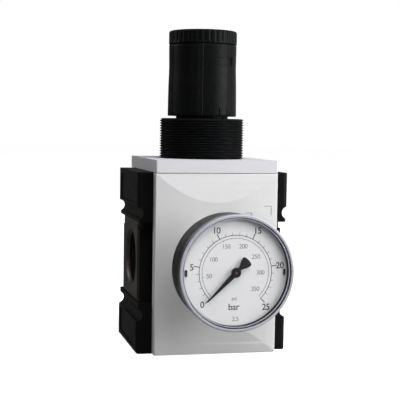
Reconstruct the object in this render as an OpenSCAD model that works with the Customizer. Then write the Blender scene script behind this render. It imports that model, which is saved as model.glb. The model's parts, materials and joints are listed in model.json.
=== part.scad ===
// Air pressure regulator with a push-lock knob and a front pressure gauge.
// X is across the ports, Y runs from the gauge to the back, Z is up.
// The origin is on the spindle's axis, at the bottom of the body.

/* [Body] */
// Width of the body over its side flanges
body_w = 88.2; // [87:0.1:89]
// Depth of the body over its side flanges
body_d = 67; // [66:0.5:70]
// Height of the body
body_h = 103; // [102.5:0.5:104]
// Height of the port centres above the bottom
port_z = 51.5; // [51:0.1:52]
// Radius of the coupling notches in the side flanges
notch_r = 3.5; // [3:0.1:3.6]
// Depth by which the port blocks sit back from the flanges' front
port_step = 6; // [5:0.5:7]

/* [Ports] */
// Bore radius of the G1 ports, at the thread's crests
port_r = 15.15; // [14.5:0.05:15.2]
// Depth of the threaded ports
port_len = 19.5; // [18:0.5:20]

/* [Covers] */
// Width of the covers and the cap
cover_w = 70.5; // [70:0.1:71]
// Depth of the cap, and of the covers at their corners
cap_d = 83.4; // [83:0.2:85]
// Height by which a cover's face is crowned across its width
cover_crown = 2; // [1.5:0.1:2.5]
// Height of the sloping facet at the middle of a cover's top and bottom
facet_h = 16.4; // [14:0.2:18]
// Wall thickness of the covers and the cap
wall = 2.4; // [2:0.1:2.6]
// Height of the cap
cap_h = 7; // [7:0.1:8]

/* [Bonnet] */
// Radius of the M50 panel sleeve
sleeve_r = 25; // [24.8:0.1:25]
// Height of the sleeve's top edge
sleeve_top = 133.8; // [133:0.2:134.4]
// Radius of the spindle guide's neck, inside the knob
neck_r = 15.5; // [15:0.1:16]

/* [Knob] */
// Height of the knob's lower edge
knob_bottom = 135.2; // [135:0.1:136]
// Height of the joint between the grip and its cap
knob_seam = 177.2; // [177:0.2:178]
// Height of the knob's top
knob_top = 185.3; // [185:0.1:186.5]
// Number of flutes around the knob's cap
knob_flutes = 36; // [30:2:40]
// Number of ribs along the knob's grip
knob_ribs = 6; // [4:1:8]

/* [Pressure gauge] */
// Height of the gauge's centre
gauge_z = 52.7; // [52:0.1:53]
// Distance of the gauge's front from the spindle's axis
gauge_front = 87.7; // [87:0.1:88]
// Distance of the gauge's back from the spindle's axis
gauge_back = 63.2; // [63:0.1:64]
// Radius of the gauge's clear rim
gauge_r = 31; // [30.8:0.1:31.5]
// Teeth on the pointer's pinion
pinion_teeth = 12; // [12:1:12]
// Teeth that a full turn of the sector gear would have
sector_teeth = 72; // [72:1:72]

/* [Hidden] */

$fn = 96;
eps = 0.01;
gap = 0.05;             // running clearance and the gap between parts that meet
half_w = body_w / 2;
half_d = body_d / 2;
half_cover = cover_w / 2;
half_cap = cap_d / 2;

// body, from the bottom up
lower_block_top = 18.8;
lip_x = 43;
lip_h = 2.6;
port_low = 28.6;
port_high = 74.7;
upper_block_low = 83.5;
plate_x = 39;           // seat of the port inserts
port_face = 42;
barrel_r = 19;
strip_x = 41.7;         // raised strip in front of each insert
strip_y = -22;          // where the strip ends and the insert begins
recess_x = 40.3;        // floor of the slots above and below the strip
recess_h = 4.2;
edge_r = 3;
boss_r = 10;
boss_end = 38.5;
pocket_depth = 0.6;
pocket_margin = 3;      // from the block's outer edges
pocket_lip = 1.6;       // from the notch
pocket_d = 51;

// chambers
web_low = 48;
web_high = 55;
chamber_r = 17;
plug_top = 20;
plug_r = 19;
upper_chamber_top = 80;
diaphragm_floor = 86;
diaphragm_r = 25.5;
rim_r = 30;
rim_low = 100.4;

// bonnet and spindle
flange_w = 64.8;
flange_d = 72;
flange_top = 106.5;
cap_top = body_h + 0.2 + cap_h;
sleeve_edge = 1.5;
relief_r = 23.4;        // thread relief behind the cap
relief_top = 0.2;       // height by which the relief clears the cap
screw_xy = 26;
bonnet_bore = 19.5;
spring_room_top = 131;
neck_top = 150;
guide_r = 12;           // spigot of the spindle guide, in the bonnet's roof
journal_r = 7;
key_r = 21.5;
key_w = 6.4;
thread_r = 5.9;
spindle_low = 105;
hex_across = 10;
hex_top = 168;

// valve
seat_face = 47.5;
stem_r = 2.5;
stem_tip = 93.3;

// gauge
gauge_len = gauge_front - gauge_back;
case_r = 30.35;
mouth_r = 28.4;         // inside of the case's mouth, in front of the dial
mouth_top = 22.3;       // its edge, measured from the gauge's back
shoulder = 19.4;        // where the case steps in to its mouth
dial_y = 83.2;          // distance of the dial's face from the spindle's axis
module_mm = 0.35;
pinion_pitch_r = pinion_teeth * module_mm / 2;
sector_pitch_r = sector_teeth * module_mm / 2;
sector_z = -(pinion_pitch_r + sector_pitch_r);
gear_y = 73.2;          // middle of the gears, from the spindle's axis
gear_t = 1.6;
zero_angle = 225;       // direction of the pointer at rest, from +X towards +Z

// A block with round vertical edges, standing on Z = 0
module rounded_block(w, d, h, r) {
    translate([-w / 2 + r, -d / 2, 0]) cube([w - 2 * r, d, h]);
    translate([-w / 2, -d / 2 + r, 0]) cube([w, d - 2 * r, h]);
    for (x = [-1, 1], y = [-1, 1]) translate([x * (w / 2 - r), y * (d / 2 - r), 0])
        cylinder(h = h, r = r, $fn = 32);
}

// A ring about Z
module ring(low, high, inner, outer) {
    translate([0, 0, low]) difference() {
        cylinder(h = high - low, r = outer);
        translate([0, 0, -1]) cylinder(h = high - low + 2, r = inner);
    }
}

// A cylinder along Y, from the distance y0 to the distance y1 in front of the spindle's axis
module rod_y(y0, y1, r, z = 0, x = 0) {
    translate([x, -y0, z]) rotate([90, 0, 0]) cylinder(h = y1 - y0, r = r);
}

// A hexagonal bar along Y, in the same terms
module hex_y(y0, y1, across, z = 0) {
    translate([0, -y0, z]) rotate([90, 0, 0]) cylinder(h = y1 - y0, r = across / sqrt(3), $fn = 6);
}

// Places its children in the gauge: their Z axis points forward, out of the dial, and Y is up
module at_gauge(y) {
    translate([0, -y, gauge_z]) rotate([90, 0, 0]) children();
}

// A helical wire, as one swept solid
module coil(low, high, mean_r, wire_r, turns, steps, sides) {
    n = turns * steps;
    rise = (high - low - 2 * wire_r) / n;
    points = [for (i = [0:n], k = [0:sides - 1])
        let (a = i * 360 / steps, b = k * 360 / sides, rr = mean_r + wire_r * cos(b))
        [rr * cos(a), rr * sin(a), low + wire_r + i * rise + wire_r * sin(b)]];
    side_faces = [for (i = [0:n - 1], k = [0:sides - 1]) let (q = (k + 1) % sides)
        [i * sides + k, i * sides + q, (i + 1) * sides + q, (i + 1) * sides + k]];
    start_face = [for (k = [sides - 1:-1:0]) k];
    end_face = [for (k = [0:sides - 1]) n * sides + k];
    polyhedron(points, concat([start_face, end_face], side_faces));
}

// Outline of one gear: teeth at a pitch radius, each narrower than its gap so that the pair runs free
module gear_outline(teeth, pitch_r, count, first, inner_r) {
    root_r = pitch_r - 1.3 * module_mm;
    tip_r = pitch_r + 0.9 * module_mm;
    root_half = 0.63 * module_mm;
    pitch_half = 0.627 * module_mm;
    tip_half = 0.256 * module_mm;
    step = 360 / teeth;
    difference() {
        union() {
            circle(r = root_r);
            for (i = [first:first + count - 1]) rotate(i * step)
                polygon([[root_r - 0.2, root_half], [pitch_r, pitch_half], [tip_r, tip_half],
                    [tip_r, -tip_half], [pitch_r, -pitch_half], [root_r - 0.2, -root_half]]);
        }
        circle(r = inner_r);
    }
}

// Right half of the body's outline, seen from the front
module half_outline() {
    difference() {
        polygon([[-eps, 0], [half_w - 0.6, 0], [half_w, 0.6], [half_w, lower_block_top],
            [half_w, port_low - lip_h - notch_r], [lip_x, port_low - lip_h], [lip_x, port_low],
            [recess_x, port_low], [recess_x, port_low + recess_h], [strip_x, port_low + recess_h],
            [strip_x, port_high - recess_h], [recess_x, port_high - recess_h], [recess_x, port_high],
            [lip_x, port_high], [lip_x, port_high + 2.2], [half_w, upper_block_low - notch_r],
            [half_w, upper_block_low], [half_w, body_h], [-eps, body_h]]);
        translate([half_w, lower_block_top + notch_r]) circle(r = notch_r, $fn = 48);
        translate([half_w, upper_block_low - notch_r]) circle(r = notch_r, $fn = 48);
        polygon([[half_w - notch_r + 0.4, lower_block_top + notch_r], [lip_x, port_low - lip_h],
            [half_w + 1, port_low - lip_h], [half_w + 1, lower_block_top + notch_r]]);
    }
}

module body() {
    color([0.04, 0.045, 0.05]) difference() {
        intersection() {
            translate([0, half_d, 0]) rotate([90, 0, 0]) linear_extrude(body_d) {
                half_outline();
                mirror([1, 0, 0]) half_outline();
            }
            rounded_block(body_w, body_d, body_h, edge_r);
        }
        body_steps();
        body_pockets();
        insert_seats();
        body_bores();
    }
    color([0.04, 0.045, 0.05]) gauge_bosses();
}

// The port blocks sit back from the flanges, front and rear
module body_steps() {
    for (x = [0, 1], y = [0, 1]) mirror([x, 0, 0]) mirror([0, y, 0])
        translate([half_cover, half_d - port_step, port_low])
            cube([half_w, port_step + 1, port_high - port_low]);
}

// Shallow panels in the flanges' outer faces
module body_pockets() {
    low_h = lower_block_top - pocket_margin - pocket_lip;
    high_z = upper_block_low + pocket_lip;
    for (x = [0, 1]) mirror([x, 0, 0]) translate([half_w - pocket_depth, -pocket_d / 2, 0]) {
        translate([0, 0, pocket_margin]) cube([pocket_depth + 1, pocket_d, low_h]);
        translate([0, 0, high_z]) cube([pocket_depth + 1, pocket_d, body_h - pocket_margin - high_z]);
    }
}

// Seats of the inserts' face plates, open at the back
module insert_seats() {
    for (x = [0, 1]) mirror([x, 0, 0]) translate([plate_x, strip_y, port_low])
        cube([10, half_d - strip_y, port_high - port_low]);
}

// Chambers, passages, screw holes and the seats of the inserts
module body_bores() {
    translate([0, 0, -1]) cylinder(h = plug_top + 1, r = plug_r);
    translate([0, 0, plug_top - eps]) cylinder(h = web_low - plug_top + eps, r = chamber_r);
    translate([0, 0, web_low - 1]) cylinder(h = web_high - web_low + 2, r = 12);
    translate([0, 0, web_high]) cylinder(h = upper_chamber_top - web_high, r = chamber_r);
    translate([0, 0, upper_chamber_top - 1]) cylinder(h = 10, r = stem_r);
    translate([0, 0, diaphragm_floor]) cylinder(h = body_h, r = diaphragm_r);
    translate([0, 0, rim_low]) cylinder(h = body_h, r = rim_r);
    for (x = [0, 1]) mirror([x, 0, 0]) translate([port_face - port_len, 0, port_z]) rotate([0, 90, 0])
        cylinder(h = 30, r = barrel_r);
    translate([-24, -8, 37.5]) cube([14, 16, 10]);
    translate([10, -8, 56]) cube([14, 16, 9]);
    for (x = [-1, 1], y = [-1, 1]) translate([x * screw_xy, y * screw_xy, body_h - 12])
        cylinder(h = 13, r = 2.1, $fn = 32);
    for (y = [-1, 1]) translate([0, y < 0 ? -boss_end : boss_end, gauge_z]) rotate([y < 0 ? -90 : 90, 0, 0])
        translate([0, 0, -1]) cylinder(h = 12, r = 5.9);
    rod_y(chamber_r - 2, half_d - 4, 1.6, 60);
    translate([0, -26, gauge_z - 2]) cylinder(h = 9, r = 1.6);
}

// Bosses for the gauge at the front and the plug at the rear
module gauge_bosses() {
    for (y = [-1, 1]) mirror([0, y > 0 ? 1 : 0, 0]) difference() {
        rod_y(half_d - 1, boss_end, boss_r, gauge_z);
        rod_y(half_d - 2, boss_end + 1, 5.9, gauge_z);
    }
}

// A port's machined insert: the face plate, the threaded barrel and its chamfered mouth
module port_insert() {
    barrel_end = port_face - port_len;
    plate_d = half_d - port_step - strip_y;
    ledge_d = 5.5;
    ledge_z = 69;
    difference() {
        union() {
            translate([plate_x + gap, strip_y + gap, port_low + gap])
                cube([port_face - plate_x - gap, plate_d - 2 * gap, port_high - port_low - 2 * gap]);
            translate([barrel_end, 0, port_z]) rotate([0, 90, 0])
                cylinder(h = plate_x + 1 - barrel_end, r = barrel_r - gap);
        }
        translate([barrel_end - 1, 0, port_z]) rotate([0, 90, 0]) cylinder(h = port_len + 2, r = port_r);
        translate([port_face - 1.9, 0, port_z]) rotate([0, 90, 0])
            cylinder(h = 2, r1 = port_r, r2 = port_r + 2);
        translate([port_face - 0.5, half_d - port_step - ledge_d, ledge_z]) cube([1, 10, 10]);
    }
}

module inlet_insert() {
    color([0.2, 0.185, 0.175]) mirror([1, 0, 0]) port_insert();
}

module outlet_insert() {
    color([0.2, 0.185, 0.175]) port_insert();
}

// Outer form of a cover: a crowned face cut by sloping planes at the top and bottom
module cover_form() {
    low = 0.5;
    high = body_h - 0.1;
    slope = cover_crown / facet_h;
    proud = 4;
    radius = (half_cover * half_cover + cover_crown * cover_crown) / (2 * cover_crown);
    intersection() {
        translate([-half_cover, 0, 0]) rotate([90, 0, 90]) linear_extrude(cover_w)
            polygon([[-half_d, low], [-half_cap, low], [-half_cap - proud, low + proud / slope],
                [-half_cap - proud, high - proud / slope], [-half_cap, high], [-half_d, high]]);
        translate([0, radius - half_cap - cover_crown, low]) cylinder(h = high - low, r = radius, $fn = 512);
    }
}

// A hollow cover with a round hole for the gauge or the plug
module cover() {
    difference() {
        cover_form();
        translate([-half_cover + wall, -half_cap + wall, 0.5 + wall])
            cube([cover_w - 2 * wall, 20, body_h - 0.6 - 2 * wall]);
        rod_y(half_d, half_cap + 10, boss_r + 0.5, gauge_z);
    }
}

module front_cover() {
    color([0.8, 0.8, 0.81]) cover();
}

module rear_cover() {
    color([0.8, 0.8, 0.81]) mirror([0, 1, 0]) cover();
}

module top_cap() {
    low = body_h + 0.2;
    color([0.87, 0.87, 0.91]) difference() {
        translate([0, 0, low]) rounded_block(cover_w, cap_d, cap_h, 0.8);
        translate([-half_cover + wall, -half_cap + wall, low - 1])
            cube([cover_w - 2 * wall, cap_d - 2 * wall, cap_h - 1]);
        cylinder(h = 200, r = sleeve_r + 0.3);
        for (x = [-1, 1]) translate([x * half_cover - 0.25, -0.2, low - 1]) cube([0.5, 0.4, cap_h + 2]);
        for (x = [-1, 1], y = [-half_d, half_d]) translate([x * half_cover - 0.15, y - 0.15, low - 1])
            cube([0.3, 0.3, cap_h + 2]);
    }
}

module bonnet() {
    thread_low = cap_top + relief_top;
    color([0.04, 0.045, 0.05]) difference() {
        union() {
            translate([0, 0, body_h + gap]) rounded_block(flange_w, flange_d, flange_top - body_h - gap, 4);
            translate([0, 0, body_h + gap]) cylinder(h = thread_low - body_h, r = relief_r);
            translate([0, 0, thread_low]) cylinder(h = sleeve_top - thread_low - sleeve_edge, r = sleeve_r);
            translate([0, 0, sleeve_top - sleeve_edge - eps])
                cylinder(h = sleeve_edge + eps, r1 = sleeve_r, r2 = sleeve_r - sleeve_edge);
        }
        translate([0, 0, body_h]) cylinder(h = spring_room_top - body_h, r = bonnet_bore);
        translate([0, 0, body_h]) cylinder(h = sleeve_top, r = guide_r);
        translate([-key_r, -key_w / 2, body_h]) cube([2 * key_r, key_w, 25]);
        for (x = [-1, 1], y = [-1, 1]) translate([x * screw_xy, y * screw_xy, body_h - 1]) {
            cylinder(h = 10, r = 2.2, $fn = 32);
            translate([0, 0, 3]) cylinder(h = 10, r = 4, $fn = 32);
        }
    }
}

// Four low-head screws that clamp the bonnet and the diaphragm's rim
module bonnet_screws() {
    head_low = body_h + 2 + gap;
    color([0.6, 0.6, 0.62]) for (x = [-1, 1], y = [-1, 1]) translate([x * screw_xy, y * screw_xy, 0])
        difference() {
            union() {
                translate([0, 0, body_h - 11]) cylinder(h = 13.5, r = 2.05, $fn = 32);
                translate([0, 0, head_low]) cylinder(h = 2.6, r = 3.8, $fn = 32);
            }
            translate([0, 0, head_low + 1.2]) cylinder(h = 2, r = 1.7, $fn = 6);
        }
}

// Bush screwed into the bonnet's roof: it guides the spindle and centres the knob
module spindle_guide() {
    color([0.05, 0.055, 0.06]) difference() {
        union() {
            translate([0, 0, spring_room_top + gap])
                cylinder(h = sleeve_top - spring_room_top, r = guide_r - gap);
            translate([0, 0, sleeve_top + gap]) cylinder(h = neck_top - sleeve_top - gap, r = neck_r);
        }
        translate([0, 0, spring_room_top - 1]) cylinder(h = neck_top, r = journal_r);
    }
}

module seat_insert() {
    color([0.72, 0.58, 0.3]) {
        ring(seat_face + gap, web_high + 2, 8, 12 - gap);
        ring(web_high + gap, web_high + 2, 8, 14);
    }
}

module bottom_plug() {
    color([0.06, 0.065, 0.07]) difference() {
        cylinder(h = plug_top - gap, r = plug_r - gap);
        translate([0, 0, 10.5]) cylinder(h = 20, r = 3.5 + gap);
        translate([0, 0, 15.5]) cylinder(h = 2.6, r = 5.2);
        for (x = [-1, 1]) translate([x * 12, 0, -1]) cylinder(h = 5, r = 2.1, $fn = 32);
        ring(13.9, 16.7, 17.1, plug_r + 1);
        ring(-1, 0.8, plug_r - 1, plug_r + 1);
    }
}

module bottom_plug_oring() {
    color([0.05, 0.05, 0.05]) translate([0, 0, 15.3]) rotate_extrude() translate([18.05, 0])
        circle(r = 0.9, $fn = 32);
}

module stem_seal() {
    color([0.05, 0.05, 0.05]) translate([0, 0, 16.8]) rotate_extrude() translate([4.4, 0])
        circle(r = 0.75, $fn = 32);
}

// Socket plug in the port at the back, for a second gauge
module rear_port_plug() {
    color([0.06, 0.065, 0.07]) mirror([0, 1, 0]) difference() {
        union() {
            rod_y(31, boss_end + 1.4, 5.85, gauge_z);
            rod_y(boss_end + 1.4 + gap, boss_end + 4.4, 9, gauge_z);
            rod_y(boss_end + 1, boss_end + 2, 5.85, gauge_z);
        }
        hex_y(boss_end - 1, boss_end + 6, 6, gauge_z);
    }
}

module rear_plug_seal() {
    color([0.05, 0.05, 0.05]) mirror([0, 1, 0]) difference() {
        rod_y(boss_end + gap, boss_end + 1.4, 8.6, gauge_z);
        rod_y(boss_end - 1, boss_end + 3, 5.95, gauge_z);
    }
}

// Stem that screws into the body's boss and carries the gauge
module gauge_adapter() {
    color([0.72, 0.6, 0.34]) difference() {
        union() {
            rod_y(31, boss_end + 2, 5.85, gauge_z);
            rod_y(boss_end + 1.4 + gap, 45, 9.2, gauge_z);
            hex_y(45 - eps, 52, 17, gauge_z);
        }
        rod_y(30, 53, 2, gauge_z);
        rod_y(46, 53, 4.6, gauge_z);
    }
}

module gauge_seal() {
    color([0.05, 0.05, 0.05]) difference() {
        rod_y(boss_end + gap, boss_end + 1.4, 8.6, gauge_z);
        rod_y(boss_end - 1, boss_end + 3, 5.95, gauge_z);
    }
}

// Brass connection: its thread enters the adapter and its block carries the tube inside the case
module gauge_socket() {
    color([0.72, 0.6, 0.34]) difference() {
        union() {
            rod_y(46.5, 54, 4.55, gauge_z);
            hex_y(52 + gap, 61, 14, gauge_z);
            rod_y(61 - eps, gauge_back + 1.6, 5.5, gauge_z);
            translate([-6, -70.4, gauge_z - 6]) cube([12, 70.4 - gauge_back - 1.6, 12]);
            translate([-2.2, -70.4, gauge_z - 26]) cube([4.4, 3.4, 22]);
            translate([-2.8, -79.4, gauge_z - 26.4]) cube([5.6, 12.2, 4.2]);
        }
        rod_y(40, 68, 1.2, gauge_z);
    }
}

// Black cup of the gauge, with its rounded back and the thin mouth that the window snaps over
module gauge_case() {
    floor_t = 1.4;
    color([0.06, 0.065, 0.06]) at_gauge(gauge_back) rotate_extrude()
        polygon([[5.6, 0], [case_r - 2, 0], [case_r - 0.6, 0.6], [case_r, 2], [case_r, shoulder],
            [mouth_r + 0.5, shoulder], [mouth_r + 0.5, mouth_top], [mouth_r, mouth_top],
            [mouth_r, floor_t + 1], [mouth_r - 1, floor_t], [5.6, floor_t]]);
}

// Clear window and rim in one piece: a flat disc and a thick rim that grips the case's mouth
module gauge_window() {
    under = mouth_top + 0.3;
    skirt_r = mouth_r + 0.5 + gap;
    color([0.85, 0.86, 0.92, 0.35]) at_gauge(gauge_back) rotate_extrude()
        polygon([[0, under], [skirt_r, under], [skirt_r, shoulder + gap], [gauge_r, shoulder + gap],
            [gauge_r, gauge_len - 0.8], [gauge_r - 0.8, gauge_len], [29.2, gauge_len],
            [28.8, gauge_len - 0.3], [0, gauge_len - 0.3]]);
}

module window_gasket() {
    color([0.05, 0.05, 0.05]) at_gauge(gauge_back + mouth_top + 0.02) rotate_extrude()
        translate([mouth_r + 0.02, 0]) square([0.46, 0.26]);
}

module gauge_dial() {
    color([0.9, 0.9, 0.91]) at_gauge(dial_y - 0.5) difference() {
        cylinder(h = 0.5, r = mouth_r - gap);
        translate([0, 0, -1]) cylinder(h = 3, r = 1.2);
    }
}

// Two black clips that hold the dial at its left and right edges
module dial_clips() {
    color([0.06, 0.06, 0.065]) at_gauge(dial_y + gap) for (x = [-1, 1])
        translate([x * 26.7 - 0.5, -1.6, 0]) cube([1, 3.2, 0.5]);
}

// C-shaped pressure tube: open at its tip, beside the block at the bottom
module bourdon_tube() {
    color([0.74, 0.6, 0.36]) at_gauge(gear_y) rotate([0, 0, -90 + 7]) rotate_extrude(angle = 250)
        translate([24.3, 0]) square([1.5, 7], center = true);
    color([0.74, 0.6, 0.36]) at_gauge(gear_y) rotate([0, 0, -90 + 7 + 250])
        translate([22.2, -0.5, -3.5]) cube([3, 3, 7]);
}

// Front and rear plates between which the gears turn
module movement_plates() {
    color([0.75, 0.62, 0.36]) for (y = [gear_y - 2.4, gear_y + 1.6]) at_gauge(y) difference() {
        union() {
            translate([-6, sector_z - 5, 0]) cube([12, -sector_z + 9, 0.8]);
            for (x = [-1, 1]) translate([x * 11, sector_z + 2, 0]) cylinder(h = 0.8, r = 3);
            translate([-11, sector_z - 1, 0]) cube([22, 6, 0.8]);
        }
        translate([0, 0, -1]) cylinder(h = 3, r = 0.6 + gap);
        translate([0, sector_z, -1]) cylinder(h = 3, r = 0.8 + gap);
        for (x = [-1, 1]) translate([x * 11, sector_z + 2, -1]) cylinder(h = 3, r = 1, $fn = 32);
    }
}

module movement_pillars() {
    color([0.75, 0.62, 0.36]) at_gauge(gear_y - 2.9) for (x = [-1, 1])
        translate([x * 11, sector_z + 2, 0]) {
            cylinder(h = 5.8, r = 1 - gap, $fn = 32);
            translate([0, 0, 1.3 + gap]) cylinder(h = 3.2 - 2 * gap, r = 1.7, $fn = 32);
        }
}

// Toothed sector on its arbor, with a short tail for the link
module sector_gear() {
    color([0.78, 0.65, 0.38]) at_gauge(gear_y - gear_t / 2) translate([0, sector_z, 0]) {
        linear_extrude(gear_t) intersection() {
            rotate(90 - 50) gear_outline(sector_teeth, sector_pitch_r, 12, -1, 0.8 - eps);
            union() {
                polygon([[0, 0], [20 * cos(33), 20 * sin(33)], [20 * cos(62), 20 * sin(62)],
                    [20 * cos(97), 20 * sin(97)]]);
                circle(r = 2.6);
            }
        }
        translate([0, 0, -1.9]) cylinder(h = gear_t + 3.8, r = 0.8, $fn = 32);
        translate([-1, -5.6, 0]) cube([2, 5, gear_t]);
    }
}

// Link from the sector's tail towards the tube's tip; the far eye stays open
module tube_link() {
    color([0.78, 0.65, 0.38]) at_gauge(gear_y + gear_t / 2 + gap) translate([0, sector_z - 4.6, 0]) {
        difference() {
            union() {
                cylinder(h = 0.6, r = 1.2, $fn = 32);
                rotate(-170) translate([0, -0.5, 0]) cube([15, 1, 0.6]);
            }
            translate([0, 0, -1]) cylinder(h = 3, r = 0.4, $fn = 32);
        }
    }
}

// Pinion on the pointer's shaft
module pointer_pinion() {
    color([0.78, 0.65, 0.38]) {
        at_gauge(gear_y - gear_t / 2) rotate(15) linear_extrude(gear_t)
            gear_outline(pinion_teeth, pinion_pitch_r, pinion_teeth, 0, 0.6 - eps);
        rod_y(gear_y - 2.6, dial_y + 1.9, 0.6, gauge_z);
    }
}

// Tapered pointer with a round hub and a flared tail
module pointer() {
    color([0.06, 0.065, 0.08]) at_gauge(dial_y + 1) rotate(zero_angle) difference() {
        union() {
            cylinder(h = 0.9, r = 2.65);
            linear_extrude(0.5) polygon([[0, 1.5], [2.6, 1.35], [21.6, 0.28], [21.6, -0.28],
                [2.6, -1.35], [0, -1.5], [-3.4, -1], [-6.2, -2.6], [-8.3, -3], [-9.1, -2.2], [-9.4, 0],
                [-9.1, 2.2], [-8.3, 3], [-6.2, 2.6], [-3.4, 1]]);
        }
        translate([0, 0, -1]) cylinder(h = 3, r = 0.6, $fn = 48);
    }
}

module pointer_pin() {
    color([0.78, 0.6, 0.3]) rod_y(dial_y + 1.9 + gap, dial_y + 2.3, 0.75, gauge_z);
}

// Left-hand M12 spindle: thread, collar, journal and hexagonal drive
module spindle() {
    color([0.62, 0.62, 0.64]) difference() {
        union() {
            translate([0, 0, spindle_low]) cylinder(h = 25, r = thread_r);
            translate([0, 0, 127]) cylinder(h = 3 - gap, r = 11);
            translate([0, 0, 127]) cylinder(h = neck_top + 2.2 - 127, r = journal_r - gap);
            translate([0, 0, neck_top + 2])
                cylinder(h = hex_top - neck_top - 2, r = hex_across / sqrt(3), $fn = 6);
        }
        ring(neck_top + 0.3, neck_top + 1.5, journal_r - 1, journal_r + 1);
    }
}

module thrust_washer() {
    color([0.7, 0.66, 0.5]) ring(130, spring_room_top - gap, journal_r + gap, 12);
}

// Open ring in the spindle's groove, above the neck
module retaining_ring() {
    color([0.35, 0.35, 0.36]) difference() {
        ring(neck_top + 0.3 + gap, neck_top + 1.5 - gap, journal_r - 1 + gap, 9.6);
        translate([-2.5, 0, neck_top]) cube([5, 20, 3]);
    }
}

// Hub that slides on the spindle's hexagon and drives the grip
module knob_hub() {
    color([0.1, 0.1, 0.11]) difference() {
        union() {
            translate([0, 0, 152.4]) cylinder(h = 21.4, r = 9.5);
            translate([0, 0, 170]) cylinder(h = 3.8, r = 18.2);
            for (a = [0:60:300]) rotate(a) translate([8, -1, 158]) cube([8, 2, 13]);
        }
        translate([0, 0, 150]) cylinder(h = 19, r = (hex_across + 2 * gap) / sqrt(3), $fn = 6);
    }
}

// The grip's outline, raised by add: [radius, height], with a slight waist below the cap
function grip_profile(add) = [[20.42 + add, knob_bottom], [20.3 + add, 147], [20.17 + add, 154],
    [19.97 + add, 159.5], [19.88 + add, 164.5], [19.97 + add, 169.5], [20.05 + add, knob_seam - 0.2]];

// Grip with its ribs, a label pad and a snap tongue beside two slots
module knob_shell() {
    color([0.05, 0.055, 0.06]) difference() {
        union() {
            rotate_extrude() polygon(concat(grip_profile(0), [[17.1, knob_seam - 0.2], [17.1, 173.9],
                [18.3, 173.9], [18.3, knob_bottom]]));
            for (i = [0:knob_ribs - 1]) rotate(i * 360 / knob_ribs - 90 - 24.7) rotate_extrude(angle = 12.5)
                polygon(concat(grip_profile(0.3), [[19, knob_seam - 0.2], [19, knob_bottom]]));
        }
        rotate(-90 + 10) rotate_extrude(angle = 36) translate([19.5, 164.9]) square([2, 4.4]);
        for (a = [17, 32.4]) rotate(-90 + a) translate([18, -0.3, knob_bottom - 1]) cube([4, 0.6, 5.5]);
    }
}

// Fluted top band with its round edge and the spigot that enters the grip
module knob_cap() {
    band_low = knob_seam + 0.2;
    color([0.05, 0.055, 0.06]) difference() {
        rotate_extrude() polygon([[0, knob_top - 3], [0, knob_top], [19.15, knob_top],
            [19.85, knob_top - 0.3], [20.15, knob_top - 1], [20.15, band_low], [17, band_low], [17, 173.9],
            [15.6, 173.9], [15.6, knob_top - 3]]);
        for (i = [0:knob_flutes - 1]) rotate(i * 360 / knob_flutes) translate([20.9, 0, band_low + 0.9])
            cylinder(h = 10, r = 0.95, $fn = 24);
    }
}

// Nut that the spindle winds up and down; two keys slide in the bonnet's slots
module spring_plate() {
    color([0.66, 0.66, 0.68]) difference() {
        union() {
            translate([0, 0, 121]) cylinder(h = 5, r = bonnet_bore - 0.3);
            translate([0, 0, 114]) cylinder(h = 8, r = 10.5);
            translate([-key_r + 0.3, -key_w / 2 + 0.2, 121]) cube([2 * key_r - 0.6, key_w - 0.4, 5]);
        }
        translate([0, 0, 100]) cylinder(h = 40, r = thread_r + gap);
    }
}

module main_spring() {
    color([0.5, 0.5, 0.52]) coil(99.9, 120.9, 14.5, 1.5, 4.5, 28, 8);
}

// Rubber diaphragm: clamped rim, one convolution and a flat middle
module diaphragm() {
    color([0.07, 0.07, 0.07]) rotate_extrude()
        polygon([[3.1, 96], [18, 96], [20, 96.6], [21.4, 98.6], [22.6, 99.3], [23.9, 99.9], [24.6, 101],
            [29.9, 100.6], [29.9, 102.9], [24, 102.9], [22.6, 101.2], [20.6, 100.4], [19, 98.4],
            [17.6, 97.5], [3.1, 97.5]]);
}

module upper_plate() {
    color([0.75, 0.75, 0.77]) {
        ring(97.5 + gap, 99.8, 3.1, 17.4);
        ring(99.7, 102, 16.3, 17.4);
    }
}

module lower_plate() {
    color([0.75, 0.75, 0.77]) ring(93.9, 96 - gap, 3.1, 16);
}

// Hollow rivet through the plates; the stem's tip closes its lower end
module relief_bush() {
    color([0.74, 0.6, 0.34]) {
        ring(stem_tip + gap, 100.6, 1.3, 3);
        ring(stem_tip + gap, 93.9 - gap, 1.3, 4.4);
        ring(99.8 + gap, 100.6, 1.3, 4.4);
    }
}

// Balanced poppet and its stem
module valve_stem() {
    color([0.74, 0.6, 0.34]) {
        translate([0, 0, 13]) cylinder(h = 31, r = 3.5);
        translate([0, 0, 42.5]) cylinder(h = 3, r = 11);
        translate([0, 0, 45]) cylinder(h = stem_tip - 45.6, r = stem_r - gap);
        translate([0, 0, stem_tip - 0.61]) cylinder(h = 0.61, r1 = stem_r - gap, r2 = 1.9);
    }
}

module valve_seal() {
    color([0.07, 0.07, 0.07]) ring(45.5 + gap, seat_face, stem_r + gap, 10.6);
}

module valve_spring() {
    color([0.5, 0.5, 0.52]) coil(20.1, 42.4, 8, 0.7, 6.5, 24, 8);
}

body();
inlet_insert();
outlet_insert();
front_cover();
rear_cover();
top_cap();
bonnet();
bonnet_screws();
spindle_guide();
seat_insert();
bottom_plug();
bottom_plug_oring();
stem_seal();
rear_port_plug();
rear_plug_seal();
gauge_adapter();
gauge_seal();
gauge_socket();
gauge_case();
gauge_window();
window_gasket();
gauge_dial();
dial_clips();
bourdon_tube();
movement_plates();
movement_pillars();
sector_gear();
tube_link();
pointer_pinion();
pointer();
pointer_pin();
spindle();
thrust_washer();
retaining_ring();
knob_hub();
knob_shell();
knob_cap();
spring_plate();
main_spring();
diaphragm();
upper_plate();
lower_plate();
relief_bush();
valve_stem();
valve_seal();
valve_spring();
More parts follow.
